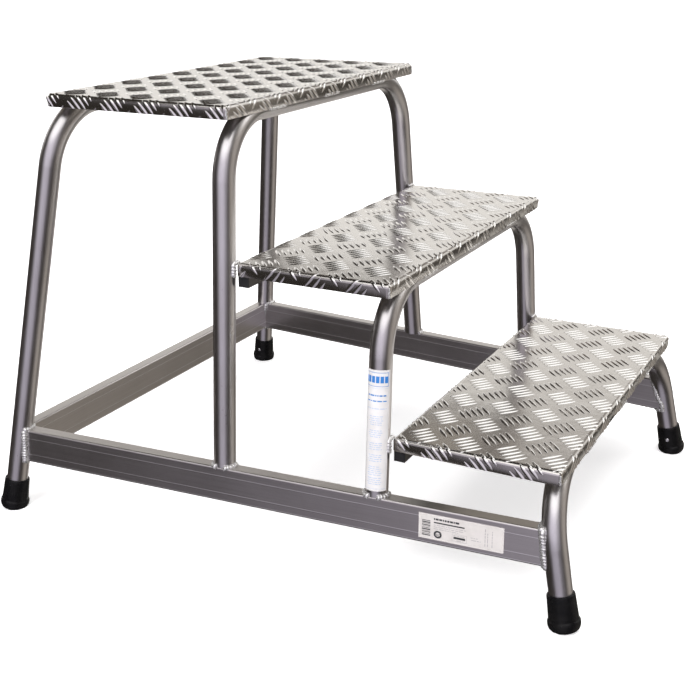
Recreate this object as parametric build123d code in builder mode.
from build123d import *
from math import acos, radians, tan
import os

# Three-step mounting block: welded aluminium tube frame with folded checker-plate treads.
# Millimetres. +Z is up, +Y is the way a person climbs, +X is their right hand.
# The origin is on the floor, in the middle of the four feet.

# Treads
rise = 200.0
going = 225.0
tread_width = 550.0
top_tread_depth = 292.0
sheet = 3.0
skirt_height = 18.5
fold_radius = 4.0
tread_corner_radius = 3.0

# Round tube of the four leg frames
tube_diameter = 30.0
tube_wall = 2.0
bend_radius = 90.0

# Room between a frame's top run and the skirt that hides it
inner_skirt_gap = 0.3
outer_skirt_gap = 1.2

# Where the bent tubes would meet if they had sharp corners, measured from the treads' sides
rear_corner_spread = 1.5
upper_corner_inset = 20.0
middle_corner_inset = 18.0
front_corner_inset = 7.0

# Feet on the floor, measured out from the treads' sides and ends
rear_foot_spread = 77.0
front_foot_spread = 10.0
rear_foot_reach = 65.0
front_foot_reach = 18.0

# The two inner frames stand on the side rails and lean forwards a little
inner_frame_lean = 1.4

# Rectangular tube of the rails
rail_height = 50.0
rail_width = 20.0
rail_wall = 2.0
rail_corner_radius = 2.5
rail_bottom = 75.0
rail_inset = 3.0

# Rectangular tube under the rear edge of the two lower treads, with a plug in each end
bar_height = 30.0
bar_width = 15.0
bar_wall = 2.0
bar_end_gap = 0.5
plug_flange = 2.0
plug_depth = 10.0
plug_clearance = 0.1

# Rubber foot caps, measured along the leg from the floor
cap_height = 46.0
cap_rim_wall = 2.6
cap_neck_wall = 3.8
cap_bulge_wall = 5.6
cap_bulge_height = 9.0
cap_groove_height = 15.0
cap_groove_depth = 0.7
cap_sole_inset = 0.5
cap_sole_drop = 2.0
cap_rim_fillet = 1.2
cap_round_inset = 1.6
cap_round_height = 2.25
disc_height = 6.0
disc_thickness = 2.0
disc_gap = 0.4

# Blind rivet through each foot cap
rivet_height = 27.0
rivet_shank_diameter = 3.2
rivet_head_diameter = 7.0
rivet_head_thickness = 1.4
rivet_head_taper = 35.0
rivet_tail = 2.0

# Weld beads
weld_leg = 4.0
weld_gap = 0.2
rail_bead_rise = 2.75
stitch_radius = 3.0
stitch_length = 45.0
stitch_offset = 150.0
base_bead_taper = 40.0
corner_bead_radius = 4.5
corner_bead_shift = 1.5

# Labels
label_thickness = 0.3
plate_label_length = 110.0
plate_label_height = 35.0
plate_label_from_front = 62.0
leg_label_base = 7.0
leg_label_bend_gap = 13.4991
leg_label_start_angle = 46.0
leg_label_end_angle = 256.0

# Values worked out from the sizes above
half_width = tread_width / 2
tube_radius = tube_diameter / 2
tread_tops = [3 * rise, 2 * rise, rise]
front_length = 2 * going + front_foot_reach
rear_length = top_tread_depth + rear_foot_reach
top_front_y = (front_length - rear_length) / 2
tread_fronts = [top_front_y, top_front_y - going, top_front_y - 2 * going]
rail_middle = rail_bottom + rail_height / 2
rail_top = rail_bottom + rail_height
front_foot_y = top_front_y - front_length
rear_foot_y = top_front_y + rear_length

os.makedirs("parts", exist_ok=True)


def write(part, name):
    """Label a finished piece and write it to its own file."""
    part.label = name
    export_step(part, f"parts/{name}.step")


class Leg:
    """One straight leg line, from the sharp corner of its frame down to its foot."""

    def __init__(self, corner, foot):
        self.corner = Vector(*corner)
        self.foot = Vector(*foot)

    def at(self, height):
        """The point of the leg's centre line at this height."""
        share = (self.corner.Z - height) / (self.corner.Z - self.foot.Z)
        return self.corner + (self.foot - self.corner) * share

    def up(self):
        """The leg's direction, from foot to corner."""
        return (self.corner - self.foot).normalized()

    def straight_length(self):
        """Length of the leg from its foot to where the bend begins."""
        turn = acos(abs(self.up().X))
        return (self.corner - self.foot).length - bend_radius * tan(turn / 2)


def mirrored(leg):
    """The same leg on the other side of the block."""
    corner = (-leg.corner.X, leg.corner.Y, leg.corner.Z)
    foot = (-leg.foot.X, leg.foot.Y, leg.foot.Z)
    return Leg(corner, foot)


def under_sheet(tread_top):
    """Height of a tube's centre line when it touches the underside of a tread's sheet."""
    return tread_top - sheet - tube_radius


def skirt_bottom(tread_top):
    """Height of the lower edge of a tread's folded skirt."""
    return tread_top - skirt_height


# Leg lines on the right-hand side; the left side mirrors them
behind_skirt = sheet + tube_radius
rear_top_y = tread_fronts[0] + top_tread_depth - behind_skirt - outer_skirt_gap
front_top_y = tread_fronts[2] + behind_skirt + outer_skirt_gap
rear_leg = Leg(
    (half_width + rear_corner_spread, rear_top_y, under_sheet(tread_tops[0])),
    (half_width + rear_foot_spread, rear_foot_y, 0.0),
)
front_leg = Leg(
    (half_width - front_corner_inset, front_top_y, under_sheet(tread_tops[2])),
    (half_width + front_foot_spread, front_foot_y, 0.0),
)

# The side rails run between the outer legs, a little inboard of the legs' centre lines
rail_start = rear_leg.at(rail_middle)
rail_end = front_leg.at(rail_middle)
rail_direction = (rail_end - rail_start).normalized()
rail_outward = Vector(-rail_direction.Y, rail_direction.X, 0.0)


def rail_outer_x(y):
    """Distance from the middle plane to the side rail's outer face at this place."""
    share = (y - rail_start.Y) / (rail_end.Y - rail_start.Y)
    centre = rail_start.X + (rail_end.X - rail_start.X) * share
    return centre + (rail_width / 2 - rail_inset) / rail_outward.X


def inner_leg(tread_top, tread_front, corner_inset):
    """Leg line of a frame that stands on the rails, flush with their outer faces."""
    top = under_sheet(tread_top)
    top_y = tread_front + behind_skirt + inner_skirt_gap
    foot_y = top_y - (top - rail_top) * tan(radians(inner_frame_lean))
    foot_x = rail_outer_x(foot_y) - tube_radius
    return Leg((half_width - corner_inset, top_y, top), (foot_x, foot_y, rail_top))


upper_leg = inner_leg(tread_tops[0], tread_fronts[0], upper_corner_inset)
middle_leg = inner_leg(tread_tops[1], tread_fronts[1], middle_corner_inset)


def tread_rear(tread_top, leg):
    """Rear edge of a tread that butts against the front of a leg."""
    return leg.at(skirt_bottom(tread_top)).Y - tube_radius - weld_gap


tread_rears = [
    tread_fronts[0] + top_tread_depth,
    tread_rear(tread_tops[1], upper_leg),
    tread_rear(tread_tops[2], middle_leg),
]


def frame_tube(leg, start, radius, bore):
    """Inverted U of round tube through a leg line and its mirror image.

    start is the distance along the leg, from its foot, at which the tube begins.
    """
    up = leg.up()
    slope = Vector(0.0, up.Y, up.Z).normalized()
    frame_plane = Plane(
        origin=(0.0, leg.corner.Y, leg.corner.Z),
        x_dir=(1.0, 0.0, 0.0),
        z_dir=(0.0, -slope.Z, slope.Y),
    )
    end = leg.foot + up * start
    drop = (leg.corner.Z - end.Z) / slope.Z
    with BuildPart() as tube:
        with BuildLine(frame_plane) as route:
            FilletPolyline(
                (-end.X, -drop),
                (-leg.corner.X, 0.0),
                (leg.corner.X, 0.0),
                (end.X, -drop),
                radius=bend_radius,
            )
        path = route.wire()
        with BuildSketch(Plane(origin=path @ 0, z_dir=path % 0)):
            Circle(radius)
            if bore > 0:
                Circle(bore, mode=Mode.SUBTRACT)
        sweep(path=path)
    return tube.part


tube_bore = tube_radius - tube_wall
cap_floor = disc_height + disc_thickness
cap_rim_radius = tube_radius + cap_rim_wall
cap_neck_radius = tube_radius + cap_neck_wall
cap_bulge_radius = tube_radius + cap_bulge_wall
cap_sole_radius = tube_radius - cap_sole_inset
cap_neck_height = cap_groove_height + 2 * cap_groove_depth
leg_overrun = tube_diameter

# Solid outlines of the outer frames, for shaping the pieces that meet them
rear_outline = frame_tube(rear_leg, 0.0, tube_radius, 0.0)
front_outline = frame_tube(front_leg, 0.0, tube_radius, 0.0)
upper_outline = frame_tube(upper_leg, -leg_overrun, tube_radius, 0.0)
middle_outline = frame_tube(middle_leg, -leg_overrun, tube_radius, 0.0)


def rivet_plane(leg):
    """Plane on the leg's centre line at the rivet, facing the middle of the block."""
    up = leg.up()
    middle = leg.foot + up * rivet_height
    inward = Vector(-1.0 if leg.foot.X > 0 else 1.0, 0.0, 0.0)
    facing = (inward - up * inward.dot(up)).normalized()
    return Plane(origin=middle, x_dir=up, z_dir=facing)


def make_outer_frame(name, leg):
    """A frame that reaches the floor: its ends stand on the discs inside the foot caps."""
    with BuildPart() as frame:
        add(frame_tube(leg, cap_floor, tube_radius, tube_bore))
        for side in (leg, mirrored(leg)):
            with BuildSketch(rivet_plane(side)):
                Circle(rivet_shank_diameter / 2)
            extrude(amount=tube_diameter, mode=Mode.SUBTRACT)
    write(frame.part, name)


def make_inner_frame(name, leg):
    """A frame that stands on the rails, with its ends cut level."""
    with BuildPart() as frame:
        add(frame_tube(leg, -leg_overrun, tube_radius, tube_bore))
        split(bisect_by=Plane.XY.offset(rail_top), keep=Keep.TOP)
    write(frame.part, name)


def tread_base(top, front, rear):
    """Plane at the lower edge of a tread's skirt, in the middle of the tread."""
    return Plane(origin=(0.0, (front + rear) / 2, skirt_bottom(top)), z_dir=(0, 0, 1))


def tread_block(top, front, rear):
    """Outer form of a tread, with rounded folds and corners."""
    with BuildPart() as block:
        with BuildSketch(tread_base(top, front, rear)):
            RectangleRounded(tread_width, rear - front, tread_corner_radius)
        extrude(amount=skirt_height)
        fillet(block.faces().sort_by(Axis.Z)[-1].edges(), radius=fold_radius)
    return block.part


def make_tread(name, top, front, rear):
    """Checker plate folded down along its four sides."""
    with BuildPart() as tread:
        add(tread_block(top, front, rear))
        with BuildSketch(tread_base(top, front, rear)):
            Rectangle(tread_width - 2 * sheet, rear - front - 2 * sheet)
        extrude(amount=skirt_height - sheet, mode=Mode.SUBTRACT)
    write(tread.part, name)


def bar_plane(tread_top, rear, side):
    """Cross-section plane at one end of a bar that lies against the rear skirt, facing outwards."""
    end = side * (half_width - sheet - bar_end_gap - plug_flange)
    middle_y = rear - sheet - bar_width / 2
    middle_z = tread_top - sheet - bar_height / 2
    return Plane(origin=(end, middle_y, middle_z), x_dir=(0, 1, 0), z_dir=(side, 0, 0))


def make_bar(name, tread_top, rear):
    """Hollow bar under the sheet, against the inside of the rear skirt."""
    section = bar_plane(tread_top, rear, -1)
    with BuildPart() as bar:
        with BuildSketch(section):
            Rectangle(bar_width, bar_height)
            Rectangle(bar_width - 2 * bar_wall, bar_height - 2 * bar_wall, mode=Mode.SUBTRACT)
        extrude(amount=2 * section.origin.X)
    write(bar.part, name)


def make_plugs(name, bars):
    """Plastic plugs in the bars' ends: a flange over the end and a spigot inside."""
    spigot_shrink = 2 * (bar_wall + plug_clearance)
    with BuildPart() as plugs:
        for tread_top, rear in bars:
            for side in (-1, 1):
                end = bar_plane(tread_top, rear, side)
                with BuildSketch(end):
                    Rectangle(bar_width, bar_height)
                extrude(amount=plug_flange)
                with BuildSketch(end):
                    Rectangle(bar_width - spigot_shrink, bar_height - spigot_shrink)
                extrude(amount=-plug_depth)
    write(plugs.part, name)


def rail_plane(side):
    """Cross-section plane of a side rail, at its rear end."""
    origin = rail_start - rail_outward * rail_inset
    outward = Vector(side * rail_outward.X, rail_outward.Y, 0.0)
    along = Vector(side * rail_direction.X, rail_direction.Y, 0.0)
    return Plane(origin=(side * origin.X, origin.Y, rail_middle), x_dir=outward, z_dir=along)


rail_length = (rail_end - rail_start).length
cross_plane = Plane(
    origin=(-rail_start.X, rail_start.Y, rail_middle),
    x_dir=(0.0, 1.0, 0.0),
    z_dir=(1.0, 0.0, 0.0),
)
cross_length = 2 * rail_start.X


def rail_bar(plane, length, grow, hollow):
    """A straight rail section; grow makes it larger all round."""
    with BuildPart() as bar:
        with BuildSketch(plane):
            RectangleRounded(
                rail_width + 2 * grow,
                rail_height + 2 * grow,
                rail_corner_radius + grow,
            )
            if hollow:
                Rectangle(rail_width - 2 * rail_wall, rail_height - 2 * rail_wall, mode=Mode.SUBTRACT)
        extrude(amount=length)
    return bar.part


side_solids = [rail_bar(rail_plane(side), rail_length, 0.0, False) for side in (-1, 1)]
cross_solid = rail_bar(cross_plane, cross_length, 0.0, False)


def make_side_rail(name, side):
    """Side rail, coped to the rear leg and the front leg."""
    with BuildPart() as rail:
        add(rail_bar(rail_plane(side), rail_length, 0.0, True))
        add(rear_outline, mode=Mode.SUBTRACT)
        add(front_outline, mode=Mode.SUBTRACT)
    write(rail.part, name)


def make_cross_rail(name):
    """Rear rail between the rear legs, fitted against the side rails."""
    with BuildPart() as rail:
        add(rail_bar(cross_plane, cross_length, 0.0, True))
        add(rear_outline, mode=Mode.SUBTRACT)
        for solid in side_solids:
            add(solid, mode=Mode.SUBTRACT)
    write(rail.part, name)


def foot_plane(leg):
    """Plane across the leg where its centre line meets the floor."""
    return Plane(origin=leg.foot, x_dir=(1.0, 0.0, 0.0), z_dir=leg.up())


def profile_plane(leg):
    """Plane through the leg's centre line, for turned pieces."""
    across = foot_plane(leg)
    return Plane(origin=leg.foot, x_dir=across.x_dir, z_dir=across.x_dir.cross(across.z_dir))


def make_foot_cap(name, leg):
    """Rubber cap pushed over the leg's end, with a flat worn by the floor."""
    with BuildPart() as cap:
        with BuildSketch(profile_plane(leg)) as section:
            with BuildLine():
                sole = Line((0.0, -cap_sole_drop), (cap_sole_radius, -cap_sole_drop))
                bulge = ThreePointArc(
                    sole @ 1,
                    (cap_bulge_radius - cap_round_inset, cap_round_height),
                    (cap_bulge_radius, cap_bulge_height),
                )
                shoulder = Line(
                    bulge @ 1,
                    (cap_neck_radius - cap_groove_depth, cap_groove_height),
                )
                neck = Line(shoulder @ 1, (cap_neck_radius, cap_neck_height))
                wall = Line(neck @ 1, (cap_rim_radius, cap_height))
                rim = Line(wall @ 1, (tube_radius, cap_height))
                bore = Line(rim @ 1, (tube_radius, disc_height))
                floor = Line(bore @ 1, (0.0, disc_height))
                Line(floor @ 1, sole @ 0)
            make_face()
            fillet(section.vertices().sort_by_distance(leg.foot)[-1:], cap_rim_fillet)
        revolve(axis=Axis(origin=leg.foot, direction=leg.up()))
        split(bisect_by=Plane.XY, keep=Keep.TOP)
        with BuildSketch(rivet_plane(leg)):
            Circle(rivet_shank_diameter / 2)
        extrude(amount=2 * cap_bulge_radius, mode=Mode.SUBTRACT)
    write(cap.part, name)


def make_discs(name, legs):
    """Steel discs that stop the tube ends cutting through the rubber."""
    with BuildPart() as discs:
        for leg in legs:
            with BuildSketch(foot_plane(leg).offset(disc_height)):
                Circle(tube_radius - disc_gap)
            extrude(amount=disc_thickness)
    write(discs.part, name)


def cap_radius_at(height):
    """Outer radius of a foot cap's tapered wall."""
    share = (height - cap_neck_height) / (cap_height - cap_neck_height)
    return cap_neck_radius + (cap_rim_radius - cap_neck_radius) * share


def make_rivets(name, legs):
    """Blind rivets: domed head outside the cap, shank through cap and tube."""
    head_base = cap_radius_at(rivet_height - rivet_head_diameter / 2)
    shank_start = tube_bore - rivet_tail
    with BuildPart() as rivets:
        for leg in legs:
            plane = rivet_plane(leg)
            with BuildSketch(plane.offset(shank_start)):
                Circle(rivet_shank_diameter / 2)
            extrude(amount=head_base - shank_start)
            with BuildSketch(plane.offset(head_base)):
                Circle(rivet_head_diameter / 2)
            extrude(amount=rivet_head_thickness, taper=rivet_head_taper)
    write(rivets.part, name)


def make_corner_weld(name, side, leg, outline, has_cross_rail):
    """Bead round the rail ends that meet one outer leg."""
    with BuildPart() as weld:
        add(rail_bar(rail_plane(side), rail_length, rail_bead_rise, False))
        if has_cross_rail:
            add(rail_bar(cross_plane, cross_length, rail_bead_rise, False))
        with BuildSketch(Plane(origin=leg.at(rail_middle), x_dir=(1, 0, 0), z_dir=leg.up())):
            Circle(tube_radius + weld_leg)
        extrude(amount=rail_height, both=True, mode=Mode.INTERSECT)
        add(outline, mode=Mode.SUBTRACT)
        for solid in side_solids:
            add(solid, mode=Mode.SUBTRACT)
        add(cross_solid, mode=Mode.SUBTRACT)
    write(weld.part, name)


def leg_base_bead(leg, side, outline):
    """Fillet beads in front of and behind one leg, as wide as the rail it stands on."""
    with BuildPart() as bead:
        with BuildSketch(Plane(origin=leg.foot, x_dir=(1.0, 0.0, 0.0), z_dir=(0.0, 0.0, 1.0))):
            Circle(tube_radius + weld_leg)
        extrude(amount=weld_leg, taper=base_bead_taper)
        with BuildSketch(rail_plane(side)):
            Rectangle(rail_width - rail_corner_radius, rail_height + 2 * weld_leg)
        extrude(amount=rail_length, mode=Mode.INTERSECT)
        add(outline, mode=Mode.SUBTRACT)
    return bead.part


def make_base_welds(name, leg, outline):
    """Beads round both legs of a frame that stands on the side rails."""
    with BuildPart() as welds:
        add(leg_base_bead(mirrored(leg), -1, outline))
        add(leg_base_bead(leg, 1, outline))
    write(welds.part, name)


def make_tread_welds(name, top, edges, butt_leg, cuts):
    """Stitches along the tread's skirts, and a bead at each rear corner that meets a leg.

    edges holds the place of each stitched skirt's inner face.
    """
    bottom = skirt_bottom(top)
    with BuildPart() as welds:
        for y in edges:
            for x in (-stitch_offset, 0.0, stitch_offset):
                start = x - stitch_length / 2
                with BuildSketch(Plane(origin=(start, y, bottom), x_dir=(0, 1, 0), z_dir=(1, 0, 0))):
                    Circle(stitch_radius)
                extrude(amount=stitch_length)
        if butt_leg is not None:
            touch = butt_leg.at(bottom)
            for side in (-1, 1):
                spot = (side * (half_width + corner_bead_shift), touch.Y - tube_radius, bottom)
                with BuildSketch(Plane(origin=spot, z_dir=(0, 0, 1))):
                    Circle(corner_bead_radius)
                extrude(amount=skirt_height - fold_radius)
        for solid in cuts:
            add(solid, mode=Mode.SUBTRACT)
    write(welds.part, name)


def make_plate_label(name):
    """Identification label stuck to the left side rail's outer face."""
    plane = rail_plane(-1)
    middle = rail_length - plate_label_from_front - plate_label_length / 2
    spot = plane.origin + plane.z_dir * middle + plane.x_dir * (rail_width / 2)
    with BuildPart() as label:
        with BuildSketch(Plane(origin=spot, x_dir=plane.z_dir, z_dir=plane.x_dir)):
            Rectangle(plate_label_length, plate_label_height)
        extrude(amount=label_thickness)
    write(label.part, name)


def make_leg_label(name, leg):
    """Long label wrapped round a leg, just above the rail."""
    up = leg.up()
    height = leg.straight_length() - leg_label_base - leg_label_bend_gap
    sweep_angle = leg_label_end_angle - leg_label_start_angle
    with BuildPart() as label:
        with BuildSketch(Plane(origin=leg.foot + up * leg_label_base, x_dir=(1, 0, 0), z_dir=up)):
            with BuildLine():
                outer = CenterArc((0, 0), tube_radius + label_thickness, leg_label_start_angle, sweep_angle)
                inner = CenterArc((0, 0), tube_radius, leg_label_start_angle, sweep_angle)
                Line(outer @ 0, inner @ 0)
                Line(outer @ 1, inner @ 1)
            make_face()
        extrude(amount=height)
    write(label.part, name)


# The four legs that reach the floor, by corner
corners = {
    "rear_left": mirrored(rear_leg),
    "rear_right": rear_leg,
    "front_left": mirrored(front_leg),
    "front_right": front_leg,
}

make_tread("top_tread", tread_tops[0], tread_fronts[0], tread_rears[0])
make_tread("middle_tread", tread_tops[1], tread_fronts[1], tread_rears[1])
make_tread("bottom_tread", tread_tops[2], tread_fronts[2], tread_rears[2])
make_outer_frame("rear_leg_frame", rear_leg)
make_inner_frame("upper_leg_frame", upper_leg)
make_inner_frame("middle_leg_frame", middle_leg)
make_outer_frame("front_leg_frame", front_leg)
make_side_rail("left_side_rail", -1)
make_side_rail("right_side_rail", 1)
make_cross_rail("rear_cross_rail")
make_bar("middle_tread_bar", tread_tops[1], tread_rears[1])
make_bar("bottom_tread_bar", tread_tops[2], tread_rears[2])
make_plugs("bar_end_plugs", [(tread_tops[1], tread_rears[1]), (tread_tops[2], tread_rears[2])])
for corner, corner_leg in corners.items():
    make_foot_cap(f"{corner}_foot_cap", corner_leg)
make_discs("foot_discs", corners.values())
make_rivets("foot_rivets", corners.values())

for side_name, side in (("left", -1), ("right", 1)):
    rear_corner = corners[f"rear_{side_name}"]
    front_corner = corners[f"front_{side_name}"]
    make_corner_weld(f"rear_{side_name}_rail_weld", side, rear_corner, rear_outline, True)
    make_corner_weld(f"front_{side_name}_rail_weld", side, front_corner, front_outline, False)
make_base_welds("upper_leg_base_welds", upper_leg, upper_outline)
make_base_welds("middle_leg_base_welds", middle_leg, middle_outline)

tread_blocks = [tread_block(*tread) for tread in zip(tread_tops, tread_fronts, tread_rears)]
top_edges = (tread_fronts[0] + sheet, tread_rears[0] - sheet)
make_tread_welds(
    "top_tread_welds",
    tread_tops[0],
    top_edges,
    None,
    [tread_blocks[0], upper_outline, rear_outline],
)
make_tread_welds(
    "middle_tread_welds",
    tread_tops[1],
    (tread_fronts[1] + sheet,),
    upper_leg,
    [tread_blocks[1], upper_outline, middle_outline],
)
make_tread_welds(
    "bottom_tread_welds",
    tread_tops[2],
    (tread_fronts[2] + sheet,),
    middle_leg,
    [tread_blocks[2], middle_outline, front_outline],
)
make_plate_label("identification_label")
make_leg_label("instruction_label", mirrored(middle_leg))
